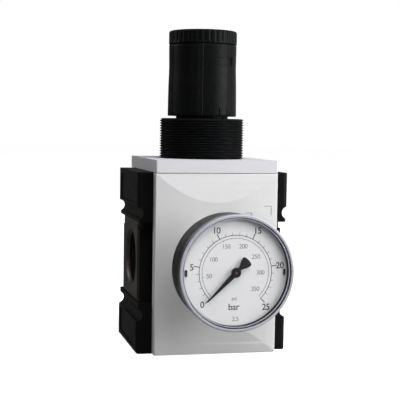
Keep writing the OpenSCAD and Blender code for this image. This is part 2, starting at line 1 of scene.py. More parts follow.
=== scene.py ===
"""Air pressure regulator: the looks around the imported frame. Lengths are in millimetres until a mesh is made."""

import json
import math

import bmesh
import bpy
import numpy as np
from mathutils import Matrix, Vector


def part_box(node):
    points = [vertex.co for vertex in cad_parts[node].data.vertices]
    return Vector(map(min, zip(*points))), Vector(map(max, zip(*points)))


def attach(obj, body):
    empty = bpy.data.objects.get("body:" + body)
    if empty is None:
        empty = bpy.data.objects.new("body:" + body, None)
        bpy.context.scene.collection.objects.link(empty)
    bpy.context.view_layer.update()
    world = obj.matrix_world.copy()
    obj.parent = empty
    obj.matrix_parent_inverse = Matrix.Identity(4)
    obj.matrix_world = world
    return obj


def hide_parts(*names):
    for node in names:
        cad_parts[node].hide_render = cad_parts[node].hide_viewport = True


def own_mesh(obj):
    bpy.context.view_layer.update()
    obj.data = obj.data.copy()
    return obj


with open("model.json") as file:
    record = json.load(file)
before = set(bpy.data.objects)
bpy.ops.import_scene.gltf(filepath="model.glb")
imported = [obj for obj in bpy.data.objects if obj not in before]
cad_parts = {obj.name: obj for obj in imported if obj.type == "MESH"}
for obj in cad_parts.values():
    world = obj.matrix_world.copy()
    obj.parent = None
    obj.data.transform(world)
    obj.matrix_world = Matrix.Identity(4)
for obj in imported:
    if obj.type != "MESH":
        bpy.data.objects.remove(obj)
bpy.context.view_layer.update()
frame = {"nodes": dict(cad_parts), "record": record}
MM = 0.001
TAU = 2 * math.pi


def span(node):
    """Lowest and highest corner of a CAD node, in millimetres."""
    low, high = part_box(node)
    return np.array(low) / MM, np.array(high) / MM


# ---------------------------------------------------------------- places taken from the frame
cap_low, cap_high = span("top_cap")
cover_low, cover_high = span("front_cover")
bonnet_low, bonnet_high = span("bonnet")
grip_low, grip_high = span("knob_shell")
band_low, band_high = span("knob_cap")
window_low, window_high = span("gauge_window")
case_low, case_high = span("gauge_case")
dial_low, dial_high = span("gauge_dial")

GAUGE_Z = (window_low[2] + window_high[2]) / 2
GAUGE_FRONT = -window_low[1]
GAUGE_BACK = -case_high[1]
RIM_R = (window_high[0] - window_low[0]) / 2
CASE_R = (case_high[0] - case_low[0]) / 2
DIAL_R = (dial_high[0] - dial_low[0]) / 2
DIAL_FACE = -dial_low[1]

# ---------------------------------------------------------------- mesh helpers


def new_piece(name, verts, faces, merge=0.0):
    """A mesh object from points in millimetres, with outward normals."""
    mesh = bpy.data.meshes.new(name)
    mesh.from_pydata([tuple(MM * c for c in v) for v in verts], [], faces)
    bm = bmesh.new()
    bm.from_mesh(mesh)
    if merge:
        bmesh.ops.remove_doubles(bm, verts=bm.verts, dist=merge * MM)
        bmesh.ops.dissolve_degenerate(bm, edges=bm.edges, dist=merge * MM)
    bmesh.ops.recalc_face_normals(bm, faces=bm.faces)
    bm.to_mesh(mesh)
    bm.free()
    piece = bpy.data.objects.new(name, mesh)
    bpy.context.scene.collection.objects.link(piece)
    return piece


def smooth(piece, angle=32):
    """Smooth shading, with sharp edges where faces meet at more than the angle in degrees."""
    piece.data.shade_smooth()
    piece.data.set_sharp_from_angle(angle=math.radians(angle))
    return piece


def baked(piece):
    """The piece with its modifiers applied to its mesh."""
    view = bpy.context.evaluated_depsgraph_get()
    mesh = bpy.data.meshes.new_from_object(piece.evaluated_get(view))
    piece.modifiers.clear()
    piece.data = mesh
    mesh.name = piece.name
    return piece


def rounded(outline, radius, steps=4, closed=True):
    """The outline with each corner turned into a short curve; radius may be one number or one for each point."""
    points = [np.array(p, float) for p in outline]
    count = len(points)
    radii = [radius] * count if np.isscalar(radius) else list(radius)
    made = []
    for i, corner in enumerate(points):
        if not closed and i in (0, count - 1):
            made.append(corner)
            continue
        before, after = points[i - 1], points[(i + 1) % count]
        to_before, to_after = before - corner, after - corner
        reach = min(radii[i], 0.45 * np.linalg.norm(to_before), 0.45 * np.linalg.norm(to_after))
        if reach <= 1e-6:
            made.append(corner)
            continue
        start = corner + to_before / np.linalg.norm(to_before) * reach
        end = corner + to_after / np.linalg.norm(to_after) * reach
        for t in np.linspace(0, 1, steps + 1):
            made.append((1 - t) ** 2 * start + 2 * t * (1 - t) * corner + t ** 2 * end)
    return made


def grid_faces(rows, columns, wrap_rows=False, wrap_columns=True):
    """Quads over a grid of points laid out row after row."""
    faces = []
    for i in range(rows if wrap_rows else rows - 1):
        for j in range(columns if wrap_columns else columns - 1):
            k, q = (i + 1) % rows, (j + 1) % columns
            faces.append((i * columns + j, i * columns + q, k * columns + q, k * columns + j))
    return faces


def around_spindle(radius, height, angle):
    """A point about the spindle's axis; angle 0 faces the gauge side and grows towards +X."""
    return (radius * math.sin(angle), -radius * math.cos(angle), height)


def around_gauge(radius, height, angle):
    """A point about the gauge's axis; height is the distance in front of the spindle's axis."""
    return (radius * math.cos(angle), -height, GAUGE_Z + radius * math.sin(angle))


def lathe(name, profile, place, segments=160, closed=True, shape=None, extra_angles=()):
    """Turns a profile of (radius, height) about an axis. shape(radius, height, angle) may change the radius."""
    angles = sorted({TAU * j / segments for j in range(segments)} | {a % TAU for a in extra_angles})
    verts = [place(shape(r, h, a) if shape else r, h, a) for r, h in profile for a in angles]
    return new_piece(name, verts, grid_faces(len(profile), len(angles), wrap_rows=closed), merge=0.0005)


def thread_share(height, angle, pitch, left=False):
    """0 at the root and 1 at the crest of a V thread with small flats."""
    turn = angle / TAU * (-1 if left else 1)
    phase = (height / pitch - turn) % 1.0
    return min(1.0, max(0.0, (0.5 - abs(phase - 0.5) - 0.06) / 0.36))


def cut(piece, cutters):
    """The piece with blocks taken out of it."""
    tool = joined("cutters", cutters)
    modifier = piece.modifiers.new("cut", "BOOLEAN")
    modifier.operation = "DIFFERENCE"
    modifier.object = tool
    baked(piece)
    bpy.data.objects.remove(tool)
    return piece


def box_mesh(xs, ys, zs):
    """Points and faces of a block."""
    verts = [(x, y, z) for x in xs for y in ys for z in zs]
    faces = [(0, 1, 3, 2), (4, 6, 7, 5), (0, 4, 5, 1), (2, 3, 7, 6), (0, 2, 6, 4), (1, 5, 7, 3)]
    return verts, faces


def loft_solid(name, outline, place_low, place_high):
    """A prism between two placings of one outline."""
    n = len(outline)
    verts = [place_low(p) for p in outline] + [place_high(p) for p in outline]
    faces = [tuple(range(n)), tuple(range(n, 2 * n))]
    faces += [(i, (i + 1) % n, n + (i + 1) % n, n + i) for i in range(n)]
    return new_piece(name, verts, faces)


def joined(name, pieces):
    """Several mesh objects as one, with the first one's materials."""
    materials = list(pieces[0].data.materials)
    bm = bmesh.new()
    for p in pieces:
        mesh = p.data
        mesh.transform(p.matrix_world)
        bm.from_mesh(mesh)
        bpy.data.objects.remove(p)
    mesh = bpy.data.meshes.new(name)
    bm.to_mesh(mesh)
    bm.free()
    for material in materials:
        mesh.materials.append(material)
    made = bpy.data.objects.new(name, mesh)
    bpy.context.scene.collection.objects.link(made)
    return made


def edged(obj, width=0.3, segments=3, angle=35):
    """Rounds the sharp edges of a carried-over CAD node, without touching its mesh."""
    weld = obj.modifiers.new("weld", "WELD")
    weld.merge_threshold = 0.002 * MM
    bevel = obj.modifiers.new("bevel", "BEVEL")
    bevel.width = width * MM
    bevel.segments = segments
    bevel.limit_method = "ANGLE"
    bevel.angle_limit = math.radians(angle)
    bevel.harden_normals = False
    bevel.use_clamp_overlap = True
    normals = obj.modifiers.new("normals", "WEIGHTED_NORMAL")
    normals.keep_sharp = True
    normals.weight = 60
    return obj


def outer_edges_only(obj, reach, angle=35):
    """Rounds only the sharp edges further than reach from the gauge's axis: a bore in a crown shades badly."""
    mesh = obj.data
    sides = {}
    for face in mesh.polygons:
        for ends in face.edge_keys:
            place = frozenset(tuple(round(c, 6) for c in mesh.vertices[k].co) for k in ends)
            sides.setdefault(place, []).append(face.normal.copy())
    weights = mesh.attributes.new("bevel_weight_edge", "FLOAT", "EDGE")
    for edge in mesh.edges:
        ends = [mesh.vertices[k].co for k in edge.vertices]
        met = sides.get(frozenset(tuple(round(c, 6) for c in co) for co in ends), [])
        sharp = len(met) == 2 and met[0].angle(met[1]) > math.radians(angle)
        far = all(math.hypot(co.x, co.z - GAUGE_Z * MM) > reach * MM for co in ends)
        weights.data[edge.index].value = float(sharp and far)
    obj.modifiers["bevel"].limit_method = "WEIGHT"


# ---------------------------------------------------------------- material helpers


class Nodes:
    """A material being put together: short calls that add a node and link it."""

    def __init__(self, name):
        self.material = bpy.data.materials.new(name)
        self.material.use_nodes = True
        self.tree = self.material.node_tree
        self.tree.nodes.clear()
        self.out = self.add("ShaderNodeOutputMaterial")
        self.shader = self.add("ShaderNodeBsdfPrincipled")
        self.tree.links.new(self.shader.outputs[0], self.out.inputs["Surface"])
        self.coordinates = self.add("ShaderNodeTexCoord")

    def add(self, kind, **values):
        node = self.tree.nodes.new(kind)
        for key, value in values.items():
            setattr(node, key, value)
        return node

    def link(self, output, target):
        self.tree.links.new(output, target)

    def noise(self, scale, detail=3.0, rough=0.55, stretch=(1, 1, 1)):
        """Noise by object position; scale is in waves per metre."""
        mapping = self.add("ShaderNodeMapping")
        mapping.inputs["Scale"].default_value = stretch
        self.link(self.coordinates.outputs["Object"], mapping.inputs["Vector"])
        noise = self.add("ShaderNodeTexNoise")
        noise.inputs["Scale"].default_value = scale
        noise.inputs["Detail"].default_value = detail
        noise.inputs["Roughness"].default_value = rough
        self.link(mapping.outputs[0], noise.inputs["Vector"])
        return noise.outputs["Fac"]

    def ramp(self, value, low, high, at=(0.35, 0.65)):
        """Maps a value between two colours, or two grey levels."""
        ramp = self.add("ShaderNodeValToRGB")
        for element, place, colour in zip(ramp.color_ramp.elements, at, (low, high)):
            element.position = place
            element.color = (colour,) * 3 + (1,) if np.isscalar(colour) else (*colour, 1)
        self.link(value, ramp.inputs["Fac"])
        return ramp.outputs["Color"]

    def bump(self, value, strength, distance, previous=None):
        bump = self.add("ShaderNodeBump")
        bump.inputs["Strength"].default_value = strength
        bump.inputs["Distance"].default_value = distance * MM
        self.link(value, bump.inputs["Height"])
        if previous:
            self.link(previous, bump.inputs["Normal"])
        return bump.outputs["Normal"]


def edge_wear(n, colour_output, worn, amount):
    """Lightens convex edges a little, by the surface's own pointiness."""
    geometry = n.add("ShaderNodeNewGeometry")
    factor = n.ramp(geometry.outputs["Pointiness"], 0.0, amount, at=(0.515, 0.6))
    mix = n.add("ShaderNodeMix", data_type="RGBA")
    n.link(factor, mix.inputs["Factor"])
    n.link(colour_output, mix.inputs["A"])
    mix.inputs["B"].default_value = (*worn, 1)
    return mix.outputs["Result"]


def moulded(name, dark, light, rough, grain=0.25, grain_scale=9000, specular=0.5, wear=None, tint_scale=60):
    """Moulded or coated surface: slight colour drift, fine grain, uneven gloss."""
    n = Nodes(name)
    colour = n.ramp(n.noise(tint_scale, 4), dark, light)
    if wear:
        colour = edge_wear(n, colour, wear, 0.35)
    n.link(colour, n.shader.inputs["Base Color"])
    n.link(n.ramp(n.noise(260, 5), rough - 0.05, rough + 0.06), n.shader.inputs["Roughness"])
    n.shader.inputs["Specular IOR Level"].default_value = specular
    broad = n.bump(n.noise(350, 2), 0.08, 0.06)
    n.link(n.bump(n.noise(grain_scale, 2), grain, 0.02, broad), n.shader.inputs["Normal"])
    return n.material


def metal(name, dark, light, rough, stretch=(1, 1, 1), scale=2500, scratch=0.12, metallic=1.0):
    """Turned, drawn or machined metal: fine marks along one direction."""
    n = Nodes(name)
    marks = n.noise(scale, 5, 0.6, stretch)
    n.link(n.ramp(n.noise(120, 4), dark, light), n.shader.inputs["Base Color"])
    n.link(n.ramp(marks, rough - 0.08, rough + 0.1), n.shader.inputs["Roughness"])
    n.shader.inputs["Metallic"].default_value = metallic
    n.link(n.bump(marks, scratch, 0.02), n.shader.inputs["Normal"])
    return n.material


def ink(name, colour, rough=0.6):
    """Printed ink, slightly uneven."""
    n = Nodes(name)
    paler = tuple(min(1, c * 1.15 + 0.01) for c in colour)
    n.link(n.ramp(n.noise(900, 3), colour, paler), n.shader.inputs["Base Color"])
    n.shader.inputs["Roughness"].default_value = rough
    n.shader.inputs["Specular IOR Level"].default_value = 0.2
    n.link(n.bump(n.noise(4000, 2), 0.1, 0.01), n.shader.inputs["Normal"])
    return n.material


def clear_plastic(name, tint, rough=0.02):
    """Thin clear plastic: it mirrors as much as its Fresnel term says and lets the rest straight through."""
    n = Nodes(name)
    n.shader.inputs["Base Color"].default_value = (*tint, 1)
    n.shader.inputs["Metallic"].default_value = 1.0
    n.link(n.ramp(n.noise(150, 3), rough, rough + 0.025), n.shader.inputs["Roughness"])
    facing = n.add("ShaderNodeLayerWeight")
    steep = n.add("ShaderNodeMath", operation="POWER")
    n.link(facing.outputs["Facing"], steep.inputs[0])
    steep.inputs[1].default_value = 5.0
    share = n.add("ShaderNodeMapRange")
    share.inputs["To Min"].default_value = 0.04
    n.link(steep.outputs[0], share.inputs["Value"])
    n.link(share.outputs["Result"], n.shader.inputs["Alpha"])
    n.link(n.bump(n.noise(90, 2), 0.03, 0.02), n.shader.inputs["Normal"])
    return n.material


BLACK = (0.0035, 0.0038, 0.0042)
BLACK_LIGHT = (0.0055, 0.0058, 0.0062)
MATERIALS = {
    "body_black": moulded("body_black", BLACK, BLACK_LIGHT, 0.45, grain=0.35, grain_scale=5000, specular=0.06,
                          wear=(0.01, 0.009, 0.008)),
    "bonnet_black": moulded("bonnet_black", BLACK, BLACK_LIGHT, 0.45, grain=0.2, specular=0.06),
    "port_metal": metal("port_metal", (0.05, 0.042, 0.037), (0.085, 0.073, 0.064), 0.42, stretch=(1, 0.08, 1),
                        scale=3000, scratch=0.2, metallic=0.75),
    "cover_grey": moulded("cover_grey", (0.69, 0.69, 0.70), (0.72, 0.72, 0.73), 0.5, grain=0.2, specular=0.25),
    "cap_grey": moulded("cap_grey", (0.70, 0.695, 0.74), (0.73, 0.725, 0.765), 0.45, grain=0.15, specular=0.25),
    "knob_black": moulded("knob_black", BLACK, BLACK_LIGHT, 0.4, grain=0.25, specular=0.05),
    "case_black": moulded("case_black", (0.004, 0.0043, 0.004), (0.006, 0.0063, 0.006), 0.4, grain=0.2,
                          specular=0.12),
    "clear_plastic": clear_plastic("clear_plastic", (0.97, 0.97, 1.0)),
    "dial_white": moulded("dial_white", (0.83, 0.83, 0.85), (0.86, 0.86, 0.875), 0.55, grain=0.1, specular=0.3),
    "pointer_black": moulded("pointer_black", (0.009, 0.009, 0.014), (0.013, 0.013, 0.019), 0.5, grain=0.2,
                             specular=0.2),
    "brass": metal("brass", (0.62, 0.42, 0.16), (0.72, 0.52, 0.22), 0.3),
    "steel": metal("steel", (0.5, 0.5, 0.51), (0.6, 0.6, 0.61), 0.32),
    "spring_steel": metal("spring_steel", (0.3, 0.3, 0.32), (0.42, 0.42, 0.44), 0.3),
    "aluminium": metal("aluminium", (0.62, 0.62, 0.64), (0.7, 0.7, 0.72), 0.35),
    "rubber": moulded("rubber", (0.006, 0.006, 0.006), (0.011, 0.011, 0.011), 0.7, grain=0.3, specular=0.3),
}
INK_DARK = ink("ink_dark", (0.02, 0.02, 0.026))
INK_BROWN = ink("ink_brown", (0.27, 0.235, 0.2))
# Grey for the thin L-shaped strips at two corners of the front cover; the ink maker only sets their colour and
# surface.
MARK_GREY = ink("mark_grey", (0.27, 0.27, 0.28))
# Painted refraction for the gauge's rim, which is clear plastic on the real gauge: the pale colour paints the bright
# surroundings seen through its front face, the dark colour paints the black case seen through its other faces.
RIM_PAINTED_LIGHT = moulded("rim_painted_light", (0.46, 0.46, 0.55), (0.52, 0.52, 0.6), 0.25, grain=0.1, specular=0.6)
RIM_PAINTED_DARK = moulded("rim_painted_dark", (0.008, 0.008, 0.012), (0.012, 0.012, 0.017), 0.2, grain=0.05, specular=0.5)
AGED_BRASS = metal("aged_brass", (0.3, 0.17, 0.07), (0.38, 0.22, 0.09), 0.4)


def dress(piece, body, material, replaces=()):
    """Gives a new piece its body, hides the CAD nodes it replaces, and gives it its material unless it has its own.
    """
    if material:
        piece.data.materials.clear()
        piece.data.materials.append(material)
    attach(piece, body)
    if replaces:
        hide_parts(*replaces)
    return piece


# ---------------------------------------------------------------- CAD nodes keep their shape, with finished materials

slots = {s["node"]: s["material_slot"] for s in frame["record"]["subparts"]}
for node, obj in frame["nodes"].items():
    slot_name = slots[node]
    obj.data.materials.clear()
    obj.data.materials.append(MATERIALS.get(slot_name, MATERIALS["bonnet_black"]))
frame["nodes"]["pointer_pin"].data.materials[0] = AGED_BRASS
EDGE_ROUNDING = {"body": 0.45, "front_cover": 0.45, "rear_cover": 0.45, "top_cap": 0.5, "spindle_guide": 0.4}
COVER_BORE_REACH = 20
for node, width in EDGE_ROUNDING.items():
    edged(frame["nodes"][node], width)
for node in ("front_cover", "rear_cover"):
    outer_edges_only(frame["nodes"][node], COVER_BORE_REACH)


# ---------------------------------------------------------------- bonnet: threaded sleeve and flange

SLEEVE_R = 25.0
SLEEVE_ROOT = 24.08
SLEEVE_PITCH = 1.5
SLEEVE_TOP = 133.8
SLEEVE_EDGE = 1.5
THREAD_LOW = cap_high[2] + 0.2
RELIEF_R = 23.4
GUIDE_R = 12.0
BONNET_BORE = 19.5
BONNET_ROOF = 131.0
FLANGE_TOP = 106.5


def sleeve_shape(r, height, angle):
    """The sleeve's M50 x 1.5 thread, turned down at its rounded top edge."""
    if r < SLEEVE_R - 0.01:
        return r
    share = thread_share(height, angle, SLEEVE_PITCH) * min(1.0, (height - THREAD_LOW) / 0.5)
    drop = max(0.0, height - (SLEEVE_TOP - SLEEVE_EDGE))
    limit = SLEEVE_R - SLEEVE_EDGE + math.sqrt(max(0.0, SLEEVE_EDGE ** 2 - drop ** 2))
    return min(SLEEVE_ROOT + (SLEEVE_R - SLEEVE_ROOT) * share, limit)


def flange_shape(r, _height, angle):
    """A rectangle with the flange's width and depth where the profile asks for a huge radius."""
    if r < 100:
        return r
    half_w, half_d = bonnet_high[0], bonnet_high[1]
    return min(half_w / max(1e-6, abs(math.sin(angle))), half_d / max(1e-6, abs(math.cos(angle))))


def make_bonnet():
    low = bonnet_low[2]
    rows = np.arange(SLEEVE_TOP, THREAD_LOW, -0.13)
    profile = [(GUIDE_R, SLEEVE_TOP), (21.0, SLEEVE_TOP), *[(SLEEVE_R, h) for h in rows], (RELIEF_R, THREAD_LOW),
               (RELIEF_R, low), (BONNET_BORE, low), (BONNET_BORE, BONNET_ROOF), (GUIDE_R, BONNET_ROOF)]
    sleeve = lathe("sleeve", profile, around_spindle, segments=240, shape=sleeve_shape)
    corner = math.atan2(bonnet_high[0], bonnet_high[1])
    flange = lathe("flange", [(RELIEF_R - 1, low), (999, low), (999, FLANGE_TOP), (RELIEF_R - 1, FLANGE_TOP)],
                   around_spindle, segments=96, shape=flange_shape,
                   extra_angles=[corner, math.pi - corner, math.pi + corner, -corner])
    return joined("bonnet_sleeve", [sleeve, flange])


bonnet = smooth(make_bonnet(), 40)
dress(bonnet, "housing", MATERIALS["bonnet_black"], ["bonnet"])


# ---------------------------------------------------------------- knob

RIB_STEP = math.radians(60)
RIB_FIRST = math.radians(-18.45)
RIB_HALF = math.radians(6.0)
RIB_RISE = 0.3
GRIP_HEIGHTS = [135.2, 147, 154, 159.5, 164.5, 169.5, 177.0]
GRIP_RADII = [20.42, 20.3, 20.17, 19.97, 19.88, 19.97, 20.05]
PAD_TURN = (math.radians(10), math.radians(46))
PAD_RISE = (164.9, 169.3)
PAD_DEPTH = 0.4
SLOT_TURNS = (17, 32.4)
SLOT_RISE = 4.5


def between(value, low, high, soft):
    """1 inside the interval, 0 outside, with soft edges."""
    rise = min(1.0, max(0.0, (value - low) / soft + 0.5))
    fall = min(1.0, max(0.0, (high - value) / soft + 0.5))
    return rise * fall


def grip_shape(r, height, angle):
    """The grip's outer wall with its rounded ribs and the recessed label pad."""
    if r < 19:
        return r
    wall = float(np.interp(height, GRIP_HEIGHTS, GRIP_RADII))
    nearest = (angle - RIB_FIRST + RIB_STEP / 2) % RIB_STEP - RIB_STEP / 2
    crown = 1 - 0.35 * min(1.0, abs(nearest) / RIB_HALF) ** 2
    rib = RIB_RISE * crown * between(nearest, -RIB_HALF, RIB_HALF, math.radians(0.7))
    turn = (angle + math.pi) % TAU - math.pi
    pad = between(turn, *PAD_TURN, math.radians(0.5)) * between(height, *PAD_RISE, 0.08)
    return r - 20.5 + wall + rib * (1 - pad) - PAD_DEPTH * pad


def make_grip():
    low, high = grip_low[2], grip_high[2]
    steps = [edge + d for edge in PAD_RISE for d in (-0.3, -0.05, 0, 0.05, 0.3)]
    heights = sorted({*np.linspace(low + 0.5, high - 0.5, 40), *steps})
    outer = [(20.0, low), (20.35, low + 0.12), *[(20.5, h) for h in heights], (20.38, high - 0.15), (20.1, high)]
    inner = [(17.1, high), (17.1, 173.9), (18.3, 173.9), (18.3, low)]
    return lathe("knob_grip", outer + inner, around_spindle, segments=720, shape=grip_shape)


def skirt_slots(grip):
    """Two slots in the skirt that leave a snap tongue between them."""
    cutters = []
    for degrees in SLOT_TURNS:
        blade = box_mesh((18.0, 23.0), (-0.3, 0.3), (grip_low[2] - 1, grip_low[2] + SLOT_RISE))
        cutter = new_piece("slot", *blade)
        cutter.data.transform(Matrix.Rotation(math.radians(degrees - 90), 4, "Z"))
        cutters.append(cutter)
    return cut(grip, cutters)


grip = smooth(skirt_slots(make_grip()), 30)
dress(grip, "knob", MATERIALS["knob_black"], ["knob_shell"])

FLUTES = 36
FLUTE_DEPTH = 0.34
BAND_R = 20.15
BAND_LOW = grip_high[2] + 0.4
FLUTE_LOW = BAND_LOW + 1.0


def band_shape(r, height, angle):
    """Rounded flutes around the cap's band, which run out over its top edge."""
    if r < 18:
        return r
    wave = 0.5 + 0.5 * math.cos(FLUTES * angle)
    groove = max(0.0, (wave - 0.35) / 0.65) ** 0.8
    return r - FLUTE_DEPTH * groove * between(height, FLUTE_LOW, 999, 1.4) * min(1.0, (r - 18) / 1.2)


def make_band():
    high = band_high[2]
    low = BAND_LOW
    side = [(BAND_R, h) for h in np.linspace(low + 0.3, high - 1.2, 12)]
    crown = [(BAND_R - 1.25 + 1.25 * math.cos(t), high - 1.25 + 1.25 * math.sin(t))
             for t in np.linspace(0.1, math.pi / 2, 8)]
    top = [(16.5, high), (8, high), (0.01, high)]
    inside = [(0.01, high - 3), (15.6, high - 3), (15.6, band_low[2]), (17.0, band_low[2]), (17.0, low), (19.8, low),
              (BAND_R - 0.05, low + 0.1)]
    return lathe("knob_band", side + crown + top + inside, around_spindle, segments=1080, shape=band_shape)


band = smooth(make_band(), 35)
dress(band, "knob", MATERIALS["knob_black"], ["knob_cap"])


# ---------------------------------------------------------------- gauge

MOUTH_R = DIAL_R + 0.05
MOUTH_WALL = 0.5
MOUTH_TOP = 21.6
SHOULDER = 19.4
CASE_FLOOR = 1.4
HOLE_R = 5.6


def make_case():
    """Black cup with a rounded back and a thin mouth."""
    outline = [(HOLE_R, 0), (CASE_R, 0), (CASE_R, 2.8), (CASE_R, SHOULDER - 0.8), (CASE_R, SHOULDER),
               (MOUTH_R + MOUTH_WALL, SHOULDER),
               (MOUTH_R + MOUTH_WALL, MOUTH_TOP), (MOUTH_R, MOUTH_TOP), (MOUTH_R, CASE_FLOOR), (HOLE_R, CASE_FLOOR)]
    profile = rounded([(r, h + GAUGE_BACK) for r, h in outline],
                      [0.2, 1.8, 0, 0, 0.25, 0.1, 0.1, 0.1, 1.0, 0.2], steps=6)
    return lathe("gauge_shell", profile, around_gauge, segments=220)


DISC_R = MOUTH_R + MOUTH_WALL
DISC_LOW = GAUGE_BACK + 22.6
DISC_TOP = GAUGE_FRONT - 0.35
RIM_INNER = 29.45
RIM_FACE = GAUGE_FRONT - 0.75


def make_window():
    """Clear disc, the bead at its seat, and the thick rim, painted where the real one is clear: its front face pale
    for the bright surroundings seen through it (painted light), its other faces dark for the black case seen through
    it (painted refraction); the bead takes the pale paint too.
    """
    outline = [(0.01, DISC_LOW), (DISC_R - 0.5, DISC_LOW), (DISC_R, DISC_LOW), (DISC_R, DISC_TOP),
               (DISC_R - 0.5, DISC_TOP), (0.01, DISC_TOP)]
    disc = lathe("disc", rounded(outline, [0, 0, 0.1, 0.15, 0, 0]), around_gauge, segments=220)
    bead = lathe("bead", rounded([(MOUTH_R + 0.05, DISC_LOW + 0.1), (DISC_R - 0.05, DISC_LOW + 0.1),
                                  (DISC_R - 0.05, DISC_LOW + 0.35), (MOUTH_R + 0.05, DISC_LOW + 0.35)], 0.08),
                 around_gauge, segments=220)
    seat = GAUGE_BACK + SHOULDER + 0.05
    outline = [(DISC_R + 0.05, seat), (RIM_R, seat), (RIM_R, GAUGE_FRONT), (RIM_INNER, GAUGE_FRONT),
               (DISC_R + 0.05, GAUGE_FRONT - 1.3)]
    rim = lathe("rim", rounded(outline, [0.1, 0.25, 0.75, 0.2, 0.1], steps=5), around_gauge, segments=240)
    # The disc stays clear; the bead and the rim's front face get the painted pale colour, the rest of the rim the
    # painted dark colour.
    for part, index in ((disc, 0), (bead, 1), (rim, 2)):
        for material in (MATERIALS["clear_plastic"], RIM_PAINTED_LIGHT, RIM_PAINTED_DARK):
            part.data.materials.append(material)
        for face in part.data.polygons:
            reach = math.hypot(face.center.x, face.center.z - GAUGE_Z * MM) / MM
            on_face = reach > RIM_INNER and -face.center.y / MM > RIM_FACE
            face.material_index = 1 if index == 2 and on_face else index
    return joined("gauge_crystal", [disc, bead, rim])


def flat_print(name, outline, lift=0.02):
    """A thin printed shape on the dial: outline points are (x, z) from the gauge's centre."""
    return loft_solid(name, outline,
                      lambda p: (p[0], -DIAL_FACE, GAUGE_Z + p[1]),
                      lambda p: (p[0], -DIAL_FACE - lift, GAUGE_Z + p[1]))


def arc_print(name, radius, width, start, end):
    """A printed arc; the angles are in degrees, anticlockwise from the right."""
    steps = max(2, int(abs(end - start) / 1.5))
    angles = [math.radians(start + (end - start) * i / steps) for i in range(steps + 1)]
    pieces = []
    inner = [((radius - width / 2) * math.cos(a), (radius - width / 2) * math.sin(a)) for a in angles]
    outer = [((radius + width / 2) * math.cos(a), (radius + width / 2) * math.sin(a)) for a in angles]
    verts, faces = [], []
    for (a, b) in zip(inner, outer):
        for lift in (0.0, 0.02):
            for p in (a, b):
                verts.append((p[0], -DIAL_FACE - lift, GAUGE_Z + p[1]))
    for i in range(steps):
        k = 4 * i
        n = k + 4
        faces += [(k, k + 1, n + 1, n), (k + 2, n + 2, n + 3, k + 3), (k, n, n + 2, k + 2),
                  (k + 1, k + 3, n + 3, n + 1)]
    faces += [(0, 2, 3, 1), (4 * steps, 4 * steps + 1, 4 * steps + 3, 4 * steps + 2)]
    return new_piece(name, verts, faces)


def tick_print(name, inner, outer, width, degrees, end_width=None):
    a = math.radians(degrees)
    along = np.array([math.cos(a), math.sin(a)])
    across = np.array([-math.sin(a), math.cos(a)])
    tip = width if end_width is None else end_width
    outline = [along * inner + across * width / 2, along * outer + across * tip / 2,
               along * outer - across * tip / 2, along * inner - across * width / 2]
    return flat_print(name, outline)


def label_print(text, size, place, spread=1.0, bold=0.05):
    """Printed figures, centred at (x, z) from the gauge's centre; size is the height of a figure."""
    curve = bpy.data.curves.new("label", "FONT")
    curve.body = text
    curve.align_x = "CENTER"
    curve.align_y = "CENTER"
    curve.size = size * 1.38 * MM
    curve.space_character = spread
    curve.extrude = 0.01 * MM
    curve.offset = bold * MM
    curve.resolution_u = 6
    obj = bpy.data.objects.new("label", curve)
    bpy.context.scene.collection.objects.link(obj)
    obj.rotation_euler = (math.pi / 2, 0, 0)
    obj.location = (place[0] * MM, (-DIAL_FACE - 0.01) * MM, (GAUGE_Z + place[1]) * MM)
    bpy.context.view_layer.update()
    view = bpy.context.evaluated_depsgraph_get()
    mesh = bpy.data.meshes.new_from_object(obj.evaluated_get(view))
    mesh.transform(obj.matrix_world)
    bpy.data.objects.remove(obj)
    made = bpy.data.objects.new("label", mesh)
    bpy.context.scene.collection.objects.link(made)
    return made


BAR_R = 19.7
PSI_R = 18.15
SWEEP = 270.0
ZERO = 225.0
FULL_BAR = 25
PSI_PER_BAR = 14.504


def at_bar(bar):
    """Direction of a reading, in degrees from the right."""
    return ZERO - SWEEP * bar / FULL_BAR


def make_bar_scale():
    parts = [arc_print("arc", BAR_R, 0.32, at_bar(0), at_bar(FULL_BAR))]
    for bar in range(FULL_BAR + 1):
        major = bar % 5 == 0
        parts.append(tick_print("tick", BAR_R, BAR_R + (3.1 if major else 1.5), 0.42 if major else 0.2, at_bar(bar),
                                0.5 if major else 0.2))
    figures = {0: (-17.8, -16.9), 5: (-23.7, 2.9), 10: (-10.7, 22.1), 15: (11.7, 21.9), 20: (24.3, 3.3),
               25: (17.0, -18.8)}
    for bar, place in figures.items():
        parts.append(label_print(str(bar), 3.4, place, 0.92))
    parts.append(label_print("bar", 3.5, (-0.7, -18.4), 0.95))
    return joined("dial_scale_bar", parts)


def make_psi_scale():
    parts = [arc_print("arc", PSI_R, 0.26, at_bar(0), at_bar(FULL_BAR))]
    for psi in range(0, 351, 10):
        major = psi % 50 == 0
        parts.append(tick_print("tick", PSI_R - (0.8 if major else 0.5), PSI_R, 0.24 if major else 0.12,
                                at_bar(psi / PSI_PER_BAR)))
    places = {50: (-14.3, -1.9), 100: (-12.1, 6.9), 150: (-5.3, 13.7), 200: (4.0, 13.7), 250: (11.0, 8.2),
              300: (13.6, -0.3), 350: (10.9, -9.0)}
    for psi, place in places.items():
        parts.append(label_print(str(psi), 2.4, place, 0.92, 0.02))
    parts.append(label_print("psi", 2.0, (-0.5, -13.9), 0.95, 0.02))
    parts.append(label_print("2.5", 2.4, (0.3, -24.8), 0.95, 0.02))
    return joined("dial_scale_psi", parts)


